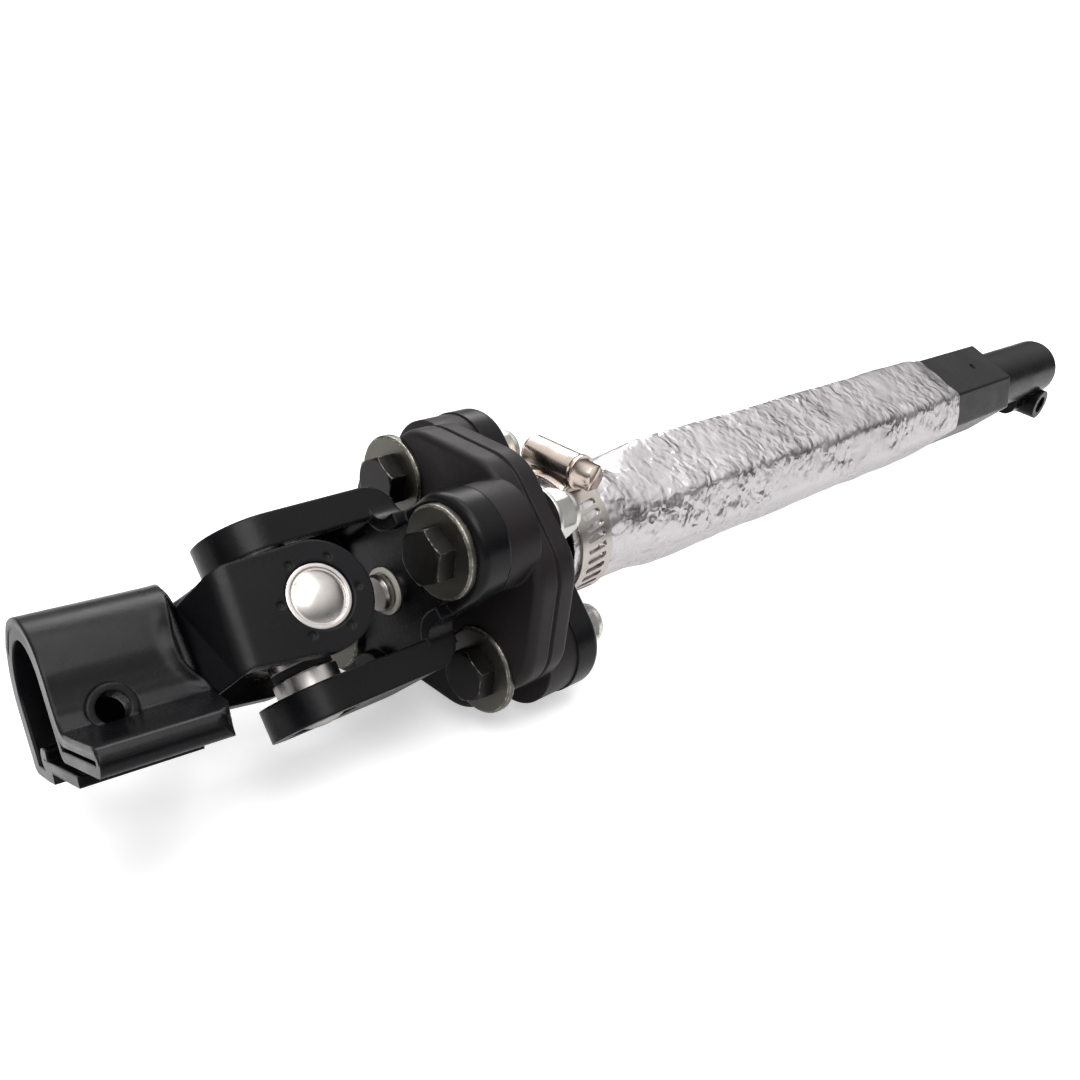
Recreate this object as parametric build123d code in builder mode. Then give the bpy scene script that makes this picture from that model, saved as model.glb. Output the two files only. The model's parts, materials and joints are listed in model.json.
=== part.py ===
from build123d import *
from math import atan2, cos, degrees, radians, sin, tan
import os

os.makedirs("parts", exist_ok=True)

# Steering column shaft: a clamp yoke, a cross and a second yoke make the lower joint, a rubber disc
# carries the drive on to a flanged inner shaft, and a six-sided tube slides over that shaft inside a
# foil sleeve and ends in the upper clamp. Sizes are in millimetres.
# +X runs along the shaft to the upper clamp and +Z is up. The origin is the mouth of the upper clamp.

# Stations along the shaft and the lie of the joint
shaft_reach = 396.0          # middle of the disc to the mouth of the upper clamp
joint_reach = 56.0           # middle of the disc back to the middle of the cross
bolt_turn = -45.0            # bolts and joint axes about the shaft, degrees
yoke_swing = 6.1             # lower joint as it lies, about the upper yoke's axis, degrees
yoke_dip = 4.9               # and about the lower yoke's own axis, degrees

# Rubber disc
disc_across = 74.0
disc_turn = 22.5             # a flat towards each bolt, degrees
disc_thickness = 13.0
disc_corner = 9.0
disc_edge = 1.4
parting_width = 0.9
parting_depth = 0.8
bolt_radius = 28.4
boss_radius = 13.9
boss_height = 9.3
disc_centre_hole = 9.0
bush_radius = 7.0
bush_bore = 4.25

# Bolts, washers and nuts, M8
shank_radius = 4.0
head_across = 13.0
head_height = 5.3
head_chamfer = 0.7
head_turn = 15.0             # degrees
head_taper = 60.0            # degrees
nut_collar_edge = 0.7
washer_radius = 12.0
washer_thickness = 2.0
washer_bore = 4.2
nut_flange_radius = 8.7
nut_flange = 1.6
nut_hex_height = 6.4
nut_collar_height = 3.2
nut_collar_radius = 5.6
nut_bore = 4.05
shank_end = 0.6              # shank beyond the nut

# Pressed base shared by the upper yoke and the shaft flange
press_sheet = 4.5
lobe_radius = 14.3
cup_depth = 9.0
cup_wall = 3.6
cup_bend = 2.2
bolt_hole = 4.5

# Upper yoke
arm_outer = 24.8
arm_half_width = 13.0
arm_rim_depth = 3.6
arm_rim_wall = 3.2
web_bend = 5.5
web_reach = 20.3
web_corner = 5.0
web_rim_reach = 21.0
web_hole = 6.3

# Cross and bearing caps
cap_radius = 8.0
cap_wall = 1.5
cap_floor = 2.2
cap_length = 11.5
cap_recess = 0.5
cap_edge = 0.5
cap_dome_radius = 5.9
cap_dome_height = 0.9
dome_taper = 45.0             # degrees
trunnion_radius = 4.95
trunnion_end_gap = 0.1
running_gap = 0.05
shoulder_radius = 7.4
shoulder_reach = 10.4
hub_blend = 1.5
seal_thickness = 1.8
stake_circle = 9.5
stake_radius = 0.9
stake_depth = 0.5
stake_count = 6

# Lower clamp yoke
clamp_radius = 16.3
yoke_sheet = 4.6
clamp_mouth = 57.7           # cross to the mouth
clamp_length = 30.0
foot_bend = 13.4             # axis down to the bend into the feet
foot_angle = 18.0            # feet below the level, degrees
foot_reach = 25.0
foot_slot = 1.1
foot_gap = 1.9
foot_length = 27.0
foot_corner = 9.0
far_lap = 12.0               # lap of the far wall under the far foot
far_foot_length = 25.0
far_foot_reach = 19.6
hook_side = 6.3
lip_gap = 0.1
lip_end = 2.2
lip_lean = 25.0              # degrees
foot_fold = 1.5
hook_fold = 1.3
ear_outer = 25.2
ear_end_radius = 13.0
joggle_length = 8.0
joggle_bend = 4.0
neck_top = 9.0
neck_bottom = 14.5
neck_blend = 8.0
ear_half_height = 11.6
pinch_drop = 10.2
pinch_back = 10.8            # mouth to the pinch hole
pinch_thread = 3.5
pinch_clearance = 4.2
pinch_room = 5.0             # between the two walls
pinch_ring_radius = 5.2
pinch_ring_height = 0.8

# Pilot pin through the disc
pin_radius = 5.0
pin_tip = 28.2
pin_chamfer = 0.7
pin_groove_depth = 0.5
pin_groove_width = 1.2
pin_groove_back = 2.2
pin_bush_length = 6.0

# Shaft flange and inner shaft
hub_radius = 19.0
weld_radius = 17.6
weld_height = 3.0
weld_land = 0.1
shaft_seat_radius = 14.9
shaft_seat_end = 75.0
shaft_back = 75.0            # end of the inner shaft before the end of the tube
shaft_bore = 10.5
shaft_corner = 0.6
slide_gap = 0.3
liner_length = 22.0
liner_gap = 0.08
liner_depth = 1.2
liner_backs = (60.0, 24.0)   # liners before the end of the inner shaft

# Six-sided tube
tube_point = 20.0            # half of the size across the points
tube_flat_reach = 18.7       # half of the size across the narrow faces
tube_flat_half = 7.0         # half of the width of a narrow face
tube_corner = 1.5
tube_wall = 2.6
tube_edge = 0.5
tube_start = 150.0
tube_plate = 3.2
tube_turn = 12.5             # narrow face above the level, on the near side, degrees
dimple_radius = 1.6
dimple_depth = 0.6
dimple_back = 20.0

# Upper clamp
collar_length = 71.0
collar_radius = 13.5
collar_bore = 8.7
collar_bore_length = 42.0
collar_edge = 0.8
collar_spigot = 10.0
spigot_gap = 0.05
collar_turn = 4.0            # pinch bolt above the level, degrees
lug_length = 25.0
lug_back = 3.5               # mouth to the lug
lug_half_width = 9.5
lug_drop = 18.5
lug_corner = 5.0
lug_slit = 2.4
slit_length = 40.0
upper_pinch_radius = 4.2
upper_pinch_drop = 12.6
upper_pinch_back = 11.5
upper_ring_radius = 7.2
upper_ring_reach = 15.5

# Foil sleeve
foil_thickness = 1.3
foil_gap = 0.4
foil_seat_gap = 0.1
foil_start = 29.0
foil_round_end = 54.0
foil_swell_end = 98.0
foil_swell_corner = 11.0
foil_swell_turn = 30.0       # degrees
foil_back = 55.0             # end of the foil before the end of the tube

# Hose clamp
band_width = 12.7
band_thickness = 0.8
band_start = 32.6
band_gap = 0.1
slot_length = 7.6
slot_width = 1.7
slot_step = 10.0             # degrees
slot_slant = 8.0
slot_plain_arc = 80.0        # plain stretch under the housing, degrees
housing_radius = 4.9
housing_length = 15.0
housing_wall = 0.9
saddle_width = 14.0
saddle_thickness = 0.9
screw_radius = 3.9
screw_groove = 0.7
screw_pitch = 2.0
screw_head_across = 7.0
screw_head_height = 4.2
screw_flange_radius = 5.2
screw_flange = 1.2

# Derived stations and frames
disc_half = disc_thickness / 2
press_face = disc_half + boss_height + cup_depth
press_back = press_face - press_sheet
cup_lip = press_face - cup_depth
disc_place = Location((-shaft_reach, 0, 0))
bolt_place = disc_place * Location((0, 0, 0), (bolt_turn, 0, 0))
cross_place = bolt_place * Location((-joint_reach, 0, 0)) * Location((0, 0, 0), (0, 0, -yoke_swing))
lower_place = cross_place * Location((0, 0, 0), (0, yoke_dip, 0))
tube_end = shaft_reach - collar_length
shaft_end = tube_end - shaft_back
foil_end = tube_end - foil_back
needle_radius = trunnion_radius + running_gap
cap_inner = cap_radius - cap_wall
near = -1
far = 1
close_enough = 0.01


def finish(piece, label, place):
    """Sets a finished piece in its place on the part and writes it."""
    placed = piece.part.moved(place)
    placed.label = label
    export_step(placed, f"parts/{label}.step")
    print(f"{label}: {len(placed.solids())} solids, {placed.volume / 1000:.2f} cm3")


def six_sided(growth):
    """Adds the tube's outline, grown or shrunk all round, to the open sketch."""
    Polygon(
        (0, tube_point),
        (-tube_flat_reach, tube_flat_half),
        (-tube_flat_reach, -tube_flat_half),
        (0, -tube_point),
        (tube_flat_reach, -tube_flat_half),
        (tube_flat_reach, tube_flat_half),
        rotation=-tube_turn,
        align=None,
    )
    if growth:
        offset(amount=growth, kind=Kind.INTERSECTION)
    fillet(vertices(), max(tube_corner + growth, shaft_corner))


def six_sided_ring(outer_growth, inner_growth):
    """Adds the band between two such outlines to the open sketch."""
    with BuildSketch(mode=Mode.PRIVATE) as hollow:
        six_sided(inner_growth)
    six_sided(outer_growth)
    add(hollow.sketch, mode=Mode.SUBTRACT)


def inner_corners(sketch, across, up):
    """The corners of a sketch where two outlines meet at this distance across and up."""
    corners = sketch.vertices()
    return corners.filter_by(lambda v: abs(abs(v.X) - across) + abs(abs(v.Y) - up) < close_enough)


def is_lobe(edge, station):
    """Whether an edge runs round a lobe of a pressed base at this station."""
    round_edge = edge.geom_type == GeomType.CIRCLE and abs(edge.radius - lobe_radius) < close_enough
    return round_edge and abs(edge.center().X - station) < close_enough


def ring(outer, inner):
    """Adds a ring about the origin to the open sketch."""
    Circle(outer)
    Circle(inner, mode=Mode.SUBTRACT)


# Lower clamp yoke, one pressed sheet. Its round top drops into two walls, and each wall ends in a
# folded foot: the near one is a hairpin, the far one laps under a loose hook that points the same way.
wall_mid = clamp_radius - yoke_sheet / 2
foot_sheet = yoke_sheet / 2
outer_layer = clamp_radius - foot_sheet / 2
inner_layer = clamp_radius - yoke_sheet + foot_sheet / 2
foot_run = Vector(-cos(radians(foot_angle)), -sin(radians(foot_angle)))
foot_down = Vector(sin(radians(foot_angle)), -cos(radians(foot_angle)))
foot_fall = tan(radians(foot_angle))
near_bend = Vector(-outer_layer, -foot_bend)
near_tip = near_bend + foot_run * foot_reach
near_return = near_tip + foot_down * (foot_sheet + foot_slot)
near_heel = Vector(-inner_layer, near_return.Y - (near_return.X + inner_layer) * foot_fall)
hook_line = near_return + foot_down * (foot_sheet + foot_gap)
far_tip = Vector(-far_foot_reach, hook_line.Y - (hook_line.X + far_foot_reach) * foot_fall)
far_heel = Vector(hook_side, hook_line.Y - (hook_line.X - hook_side) * foot_fall)
lap_end = far_heel + foot_down * foot_sheet
lip_reach = clamp_radius - yoke_sheet + lip_gap + foot_sheet / 2
neck = clamp_mouth - clamp_length


def on_lip(across):
    """The point this far across on the hook's lip, which leans and clears the bore."""
    return (across, (across * sin(radians(lip_lean)) - lip_reach) / cos(radians(lip_lean)))


with BuildPart() as lower_yoke:
    with BuildSketch(Plane.YZ.offset(-clamp_mouth)):
        with BuildLine() as clamp_path:
            CenterArc((0, 0), wall_mid, 0, 180)
            Line((wall_mid, 0), (wall_mid, -foot_bend))
            Line((-wall_mid, 0), (-wall_mid, -foot_bend))
        trace(clamp_path.line, yoke_sheet)
    extrude(amount=clamp_length)

    # The joggled side walls and the ears, cut to their outline seen from the side
    with BuildSketch(Plane.XY):
        for side in (near, far):
            with BuildLine() as wall_path:
                FilletPolyline(
                    (-neck - joggle_bend, side * wall_mid),
                    (-neck, side * wall_mid),
                    (-neck + joggle_length, side * (ear_outer - yoke_sheet / 2)),
                    (ear_end_radius, side * (ear_outer - yoke_sheet / 2)),
                    radius=joggle_bend,
                )
            trace(wall_path.line, yoke_sheet)
    extrude(amount=clamp_radius, both=True)
    with BuildSketch(Plane.XZ):
        with Locations((-clamp_mouth, 0)):
            Rectangle(clamp_length, 3 * clamp_radius, align=(Align.MIN, Align.CENTER))
        Polygon(
            (-neck, neck_top),
            (-neck + neck_blend, ear_half_height),
            (0, ear_end_radius),
            (0, -ear_end_radius),
            (-neck + neck_blend, -ear_half_height),
            (-neck, -neck_bottom),
            align=None,
        )
        Circle(ear_end_radius)
    extrude(amount=2 * clamp_radius, both=True, mode=Mode.INTERSECT)

    # The feet
    with BuildSketch(Plane.YZ.offset(-clamp_mouth)):
        with BuildLine() as hairpin:
            FilletPolyline(
                (-outer_layer, 0),
                near_bend,
                near_tip,
                near_return,
                near_heel,
                (-inner_layer, 0),
                radius=foot_fold,
            )
        trace(hairpin.line, foot_sheet)
    extrude(amount=foot_length)
    with BuildSketch(Plane.YZ.offset(-clamp_mouth)):
        with BuildLine() as hook:
            FilletPolyline(
                far_tip,
                far_heel,
                on_lip(hook_side),
                on_lip(lip_end),
                radius=hook_fold,
            )
        trace(hook.line, foot_sheet)
        with BuildLine() as lap:
            FilletPolyline(
                (outer_layer, 0),
                (outer_layer, -foot_bend),
                lap_end,
                lap_end + foot_run * (far_lap / 2),
                radius=foot_fold,
            )
        trace(lap.line, foot_sheet)
    extrude(amount=far_foot_length)
    with BuildSketch(Plane.XY.offset(-2 * clamp_radius)):
        with Locations((-clamp_mouth + foot_length, near_tip.X - foot_sheet)):
            Rectangle(foot_corner, foot_corner, align=(Align.MAX, Align.MIN))
        with Locations((-clamp_mouth + foot_length - foot_corner, near_tip.X - foot_sheet + foot_corner)):
            Circle(foot_corner, mode=Mode.SUBTRACT)
    extrude(amount=2 * clamp_radius, mode=Mode.SUBTRACT)

    # Cap bores, stakes and the pinch bolt's two holes with the room between them
    with BuildSketch(Plane.XZ):
        Circle(cap_radius)
    extrude(amount=2 * clamp_radius, both=True, mode=Mode.SUBTRACT)
    for side in (near, far):
        with BuildSketch(Plane.XZ.offset(-side * (ear_outer - stake_depth))):
            with PolarLocations(stake_circle, stake_count):
                Circle(stake_radius)
        extrude(amount=-side * stake_depth, mode=Mode.SUBTRACT)
    with BuildSketch(Plane.XZ):
        with Locations((-clamp_mouth + pinch_back, -pinch_drop)):
            Circle(pinch_room)
    extrude(amount=clamp_radius - yoke_sheet, both=True, mode=Mode.SUBTRACT)
    with BuildSketch(Plane.XZ.offset(wall_mid)):
        with Locations((-clamp_mouth + pinch_back, -pinch_drop)):
            Circle(pinch_ring_radius)
    extrude(amount=yoke_sheet / 2 + pinch_ring_height)
    with BuildSketch(Plane.XZ):
        with Locations((-clamp_mouth + pinch_back, -pinch_drop)):
            Circle(pinch_thread)
    extrude(amount=clamp_radius + pinch_ring_height, mode=Mode.SUBTRACT)
    with BuildSketch(Plane.XZ):
        with Locations((-clamp_mouth + pinch_back, -pinch_drop)):
            Circle(pinch_clearance)
    extrude(amount=-clamp_radius, mode=Mode.SUBTRACT)
finish(lower_yoke, "lower_yoke", lower_place)


# Upper yoke, a strap bent to a U on a pressed base with two lobes for its bolts
arm_mid = arm_outer - press_sheet / 2
arm_inner = arm_outer - press_sheet
web_mid = press_face - press_sheet / 2
rim_inside = arm_half_width - arm_rim_wall
with BuildPart() as upper_yoke:
    with BuildSketch(Plane.XZ):
        with BuildLine() as strap_path:
            FilletPolyline(
                (-joint_reach - arm_half_width, arm_mid),
                (-web_mid, arm_mid),
                (-web_mid, -arm_mid),
                (-joint_reach - arm_half_width, -arm_mid),
                radius=web_bend,
            )
        trace(strap_path.line, press_sheet)
    extrude(amount=arm_half_width, both=True)

    # Rims along the inner edges of the arms
    for side in (near, far):
        with BuildSketch(Plane.XY.offset(side * arm_inner)):
            with Locations((-press_face, 0)):
                Rectangle(joint_reach - press_face, 2 * arm_half_width, align=(Align.MAX, Align.CENTER))
            with Locations((-joint_reach, 0)):
                Circle(arm_half_width)
            with Locations((-press_face, 0)):
                Rectangle(
                    joint_reach - press_face,
                    2 * rim_inside,
                    align=(Align.MAX, Align.CENTER),
                    mode=Mode.SUBTRACT,
                )
            with Locations((-joint_reach, 0)):
                Circle(rim_inside, mode=Mode.SUBTRACT)
        extrude(amount=-side * arm_rim_depth)
    with BuildSketch(Plane.XY):
        with Locations((-joint_reach, 0)):
            Rectangle(joint_reach, 2 * arm_half_width, align=(Align.MIN, Align.CENTER))
            Circle(arm_half_width)
    extrude(amount=arm_outer, both=True, mode=Mode.INTERSECT)

    # The base, its cups towards the disc and the rim round its inner corners
    with BuildSketch(Plane.YZ.offset(-press_face)) as web_outline:
        SlotCenterToCenter(2 * bolt_radius, 2 * lobe_radius)
        Rectangle(2 * arm_half_width, 2 * web_reach)
        fillet(inner_corners(web_outline, arm_half_width, lobe_radius), web_corner)
    extrude(amount=press_sheet)
    with BuildSketch(Plane.YZ.offset(-press_face)):
        add(web_outline.sketch_local)
        offset(web_outline.sketch_local, amount=-arm_rim_wall, mode=Mode.SUBTRACT)
        Rectangle(2 * web_rim_reach, 2 * web_reach, mode=Mode.INTERSECT)
        Rectangle(2 * rim_inside, 2 * web_reach, mode=Mode.SUBTRACT)
    extrude(amount=-arm_rim_depth)
    with BuildSketch(Plane.YZ.offset(-press_back)):
        SlotCenterToCenter(2 * bolt_radius, 2 * lobe_radius)
        SlotCenterToCenter(2 * bolt_radius, 2 * (lobe_radius - cup_wall), mode=Mode.SUBTRACT)
    extrude(amount=press_back - cup_lip)
    fillet(upper_yoke.edges().filter_by(lambda edge: is_lobe(edge, -press_face)), cup_bend)

    # Holes for the bolts, the pin and the bearing caps, and the stakes round the caps
    with BuildSketch(Plane.YZ.offset(-press_face)):
        with Locations((-bolt_radius, 0), (bolt_radius, 0)):
            Circle(bolt_hole)
        Circle(web_hole)
    extrude(amount=press_sheet, mode=Mode.SUBTRACT)
    with BuildSketch(Plane.XY):
        with Locations((-joint_reach, 0)):
            Circle(cap_radius)
    extrude(amount=arm_outer, both=True, mode=Mode.SUBTRACT)
    for side in (near, far):
        with BuildSketch(Plane.XY.offset(side * (arm_outer - stake_depth))):
            with Locations((-joint_reach, 0)):
                with PolarLocations(stake_circle, stake_count):
                    Circle(stake_radius)
        extrude(amount=side * stake_depth, mode=Mode.SUBTRACT)
finish(upper_yoke, "upper_yoke", bolt_place)


# Bearing caps with their needle rings, one set for each axis of the cross
def cap(outer_face):
    """A bearing cap about the Z axis, pressed in from a face at this height."""
    with BuildPart() as made:
        with BuildSketch(Plane.XY.offset(outer_face - cap_recess)):
            Circle(cap_radius)
        extrude(amount=-cap_length)
        chamfer(made.edges().sort_by(Axis.Z)[-1], cap_edge)
        with BuildSketch(Plane.XY.offset(outer_face - cap_recess - cap_length)):
            Circle(cap_inner)
        extrude(amount=cap_length - cap_floor, mode=Mode.SUBTRACT)
        with BuildSketch(Plane.XY.offset(outer_face - cap_recess)):
            Circle(cap_dome_radius)
        extrude(amount=cap_dome_height, taper=dome_taper)
    return made


def needles(outer_face):
    """The ring of needle rollers that fills a cap, drawn as one band."""
    with BuildPart() as made:
        with BuildSketch(Plane.XY.offset(outer_face - cap_recess - cap_length)):
            ring(cap_inner, needle_radius)
        extrude(amount=cap_length - cap_floor)
    return made


to_far = Location((0, 0, 0), (-90, 0, 0))
to_near = Location((0, 0, 0), (90, 0, 0))
to_bottom = Location((0, 0, 0), (180, 0, 0))
finish(cap(ear_outer), "lower_cap_near", lower_place * to_near)
finish(cap(ear_outer), "lower_cap_far", lower_place * to_far)
finish(needles(ear_outer), "lower_needles_near", lower_place * to_near)
finish(needles(ear_outer), "lower_needles_far", lower_place * to_far)
arm_place = bolt_place * Location((-joint_reach, 0, 0))
finish(cap(arm_outer), "upper_cap_top", arm_place)
finish(cap(arm_outer), "upper_cap_bottom", arm_place * to_bottom)
finish(needles(arm_outer), "upper_needles_top", arm_place)
finish(needles(arm_outer), "upper_needles_bottom", arm_place * to_bottom)


# Cross, with two trunnions for each yoke, and its four seals
cap_floor_depth = cap_recess + cap_floor + trunnion_end_gap
with BuildPart() as cross:
    with BuildSketch(Plane.XY):
        Circle(shoulder_radius)
    extrude(amount=shoulder_reach, both=True)
    with BuildSketch(Plane.XZ):
        Circle(shoulder_radius)
    extrude(amount=shoulder_reach, both=True)
    crossing = cross.edges().filter_by(lambda edge: edge.geom_type not in (GeomType.CIRCLE, GeomType.LINE))
    fillet(crossing, hub_blend)
    with BuildSketch(Plane.XY):
        Circle(trunnion_radius)
    extrude(amount=arm_outer - cap_floor_depth, both=True)
    with BuildSketch(Plane.XZ):
        Circle(trunnion_radius)
    extrude(amount=ear_outer - cap_floor_depth, both=True)
finish(cross, "cross", cross_place)
with BuildPart() as cross_seals:
    for plane in (Plane.XY, Plane.XZ):
        for side in (near, far):
            with BuildSketch(plane.offset(side * shoulder_reach)):
                ring(shoulder_radius, trunnion_radius)
            extrude(amount=side * seal_thickness)
finish(cross_seals, "cross_seals", cross_place)


# Rubber disc, eight-sided, with a boss at each bolt: two towards the joint and two towards the shaft
near_bolt = (-bolt_radius, 0)
far_bolt = (bolt_radius, 0)
top_bolt = (0, bolt_radius)
bottom_bolt = (0, -bolt_radius)
with BuildPart() as flex_disc:
    with BuildSketch(Plane.YZ.offset(-disc_half)):
        RegularPolygon(disc_across / 2, 8, major_radius=False, rotation=disc_turn)
        fillet(vertices(), disc_corner)
    extrude(amount=disc_thickness)
    fillet(flex_disc.edges().filter_by(Plane.YZ), disc_edge)
    with BuildSketch(Plane.YZ.offset(-parting_width / 2)):
        RegularPolygon(disc_across / 2, 8, major_radius=False, rotation=disc_turn)
        offset(amount=-parting_depth, mode=Mode.SUBTRACT)
        fillet(vertices(), disc_corner)
    extrude(amount=parting_width, mode=Mode.SUBTRACT)
    with BuildSketch(Plane.YZ.offset(-disc_half)):
        with Locations(near_bolt, far_bolt):
            Circle(boss_radius)
    extrude(amount=-boss_height)
    with BuildSketch(Plane.YZ.offset(disc_half)):
        with Locations(top_bolt, bottom_bolt):
            Circle(boss_radius)
    extrude(amount=boss_height)
    with BuildSketch(Plane.YZ.offset(-disc_half - boss_height)):
        with Locations(near_bolt, far_bolt, top_bolt, bottom_bolt):
            Circle(bush_radius)
        Circle(disc_centre_hole)
    extrude(amount=disc_thickness + 2 * boss_height, mode=Mode.SUBTRACT)
finish(flex_disc, "flex_disc", bolt_place)

with BuildPart() as disc_bushes:
    with BuildSketch(Plane.YZ.offset(-press_back)):
        with Locations(near_bolt, far_bolt):
            ring(bush_radius, bush_bore)
    extrude(amount=press_back + disc_half)
    with BuildSketch(Plane.YZ.offset(-disc_half)):
        with Locations(top_bolt, bottom_bolt):
            ring(bush_radius, bush_bore)
    extrude(amount=press_back + disc_half)
finish(disc_bushes, "disc_bushes", bolt_place)


# Four bolts through the disc, each with a washer under the head and a locking nut behind
grip = press_face + disc_half
nut_height = nut_flange + nut_hex_height + nut_collar_height
with BuildPart() as bolt:
    with BuildSketch(Plane.YZ.offset(-washer_thickness)):
        RegularPolygon(head_across / 2, 6, major_radius=False, rotation=head_turn)
    extrude(amount=-head_height)
    with BuildSketch(Plane.YZ.offset(-washer_thickness - head_height)):
        Circle(head_across / 2)
    extrude(amount=head_height, taper=-head_taper, mode=Mode.INTERSECT)
    with BuildSketch(Plane.YZ.offset(-washer_thickness)):
        Circle(shank_radius)
    extrude(amount=washer_thickness + grip + nut_height + shank_end)
with BuildPart() as washer:
    with BuildSketch(Plane.YZ.offset(-washer_thickness)):
        ring(washer_radius, washer_bore)
    extrude(amount=washer_thickness)
    chamfer(washer.edges().group_by(Axis.X)[0].sort_by(SortBy.LENGTH)[-1], cap_edge)
with BuildPart() as nut:
    with BuildSketch(Plane.YZ.offset(grip)):
        Circle(nut_flange_radius)
    extrude(amount=nut_flange)
    with BuildSketch(Plane.YZ.offset(grip + nut_flange)):
        RegularPolygon(head_across / 2, 6, major_radius=False, rotation=head_turn)
    extrude(amount=nut_hex_height)
    with BuildSketch(Plane.YZ.offset(grip + nut_flange + nut_hex_height)):
        Circle(nut_collar_radius)
    extrude(amount=nut_collar_height)
    fillet(nut.edges().group_by(Axis.X)[-1], nut_collar_edge)
    with BuildSketch(Plane.YZ.offset(grip)):
        Circle(nut_bore)
    extrude(amount=nut_height, mode=Mode.SUBTRACT)
bolt_seats = [
    Location((-press_face, -bolt_radius, 0)),
    Location((-press_face, bolt_radius, 0)),
    Location((-disc_half, 0, bolt_radius)),
    Location((-disc_half, 0, -bolt_radius)),
]
for piece, label in ((bolt, "disc_bolts"), (washer, "bolt_washers"), (nut, "bolt_nuts")):
    with BuildPart() as fasteners:
        with Locations(*bolt_seats):
            add(piece.part)
    finish(fasteners, label, bolt_place)


# Pilot pin and the bush that centres it in the upper yoke
with BuildPart() as centre_pin:
    with BuildSketch(Plane.YZ.offset(-pin_tip)):
        Circle(pin_radius)
    extrude(amount=pin_tip + press_face)
    chamfer(centre_pin.edges().group_by(Axis.X)[0], pin_chamfer)
    with BuildSketch(Plane.YZ.offset(-pin_tip + pin_groove_back)):
        ring(pin_radius, pin_radius - pin_groove_depth)
    extrude(amount=pin_groove_width, mode=Mode.SUBTRACT)
finish(centre_pin, "centre_pin", bolt_place)
with BuildPart() as pin_bush:
    with BuildSketch(Plane.YZ.offset(-web_mid)):
        ring(web_hole, pin_radius + running_gap)
    extrude(amount=pin_bush_length / 2, both=True)
finish(pin_bush, "pin_bush", bolt_place)


# Shaft flange, pressed like the base of the upper yoke and turned a quarter, with its weld
hub_meeting = (hub_radius**2 - lobe_radius**2) ** 0.5
with BuildPart() as shaft_flange:
    with BuildSketch(Plane.YZ.offset(press_back)) as flange_outline:
        SlotCenterToCenter(2 * bolt_radius, 2 * lobe_radius, rotation=90)
        Circle(hub_radius)
        fillet(inner_corners(flange_outline, lobe_radius, hub_meeting), web_corner)
    extrude(amount=press_sheet)
    with BuildSketch(Plane.YZ.offset(cup_lip)):
        SlotCenterToCenter(2 * bolt_radius, 2 * lobe_radius, rotation=90)
        SlotCenterToCenter(2 * bolt_radius, 2 * (lobe_radius - cup_wall), rotation=90, mode=Mode.SUBTRACT)
    extrude(amount=press_back - cup_lip)
    fillet(shaft_flange.edges().filter_by(lambda edge: is_lobe(edge, press_face)), cup_bend)
    with BuildSketch(Plane.YZ.offset(press_back)):
        with Locations(top_bolt, bottom_bolt):
            Circle(bolt_hole)
        Circle(pin_radius)
    extrude(amount=press_sheet, mode=Mode.SUBTRACT)
    with BuildSketch(Plane.YZ.offset(press_face)):
        ring(weld_radius, shaft_seat_radius)
    extrude(amount=weld_height)
    weld_edge = shaft_flange.edges().group_by(Axis.X)[-1].sort_by(SortBy.LENGTH)[-1]
    chamfer(weld_edge, weld_radius - shaft_seat_radius - weld_land)
finish(shaft_flange, "shaft_flange", bolt_place)


# Inner shaft, round where the sleeve is clamped to it and six-sided where the tube slides
shaft_face = -(tube_wall + slide_gap)
liner_face = -(tube_wall + liner_gap)
with BuildPart() as inner_shaft:
    with BuildSketch(Plane.YZ.offset(press_face)):
        Circle(shaft_seat_radius)
    extrude(amount=shaft_seat_end - press_face)
    with BuildSketch(Plane.YZ.offset(shaft_seat_end)):
        six_sided(shaft_face)
    extrude(amount=shaft_end - shaft_seat_end)
    with BuildSketch(Plane.YZ.offset(press_face)):
        Circle(shaft_bore)
    extrude(amount=shaft_end - press_face, mode=Mode.SUBTRACT)
    for back in liner_backs:
        with BuildSketch(Plane.YZ.offset(shaft_end - back)):
            six_sided_ring(0, shaft_face - liner_depth)
        extrude(amount=liner_length, mode=Mode.SUBTRACT)
finish(inner_shaft, "inner_shaft", disc_place)
with BuildPart() as slide_liners:
    for back in liner_backs:
        with BuildSketch(Plane.YZ.offset(shaft_end - back)):
            six_sided_ring(liner_face, shaft_face - liner_depth)
        extrude(amount=liner_length)
finish(slide_liners, "slide_liners", disc_place)


# Six-sided tube with the plate that closes its upper end, and its one dimple
face_turn = degrees(atan2(tube_point - tube_flat_half, tube_flat_reach))
face_height = tube_point * cos(radians(face_turn))
dimple_place = Location((tube_end - dimple_back, 0, 0), (face_turn - tube_turn, 0, 0))
with BuildPart() as tube:
    with BuildSketch(Plane.YZ.offset(tube_start)):
        six_sided(0)
    extrude(amount=tube_end - tube_start)
    chamfer(tube.edges().group_by(Axis.X)[-1], tube_edge)
    with BuildSketch(Plane.YZ.offset(tube_start)):
        six_sided(-tube_wall)
    extrude(amount=tube_end - tube_start - tube_plate, mode=Mode.SUBTRACT)
    with BuildSketch(Plane.YZ.offset(tube_end)):
        Circle(collar_spigot + spigot_gap)
    extrude(amount=-tube_plate, mode=Mode.SUBTRACT)
    with BuildSketch(Plane(dimple_place).offset(face_height)):
        Circle(dimple_radius)
    extrude(amount=-dimple_depth, mode=Mode.SUBTRACT)
finish(tube, "tube", disc_place)


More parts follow.
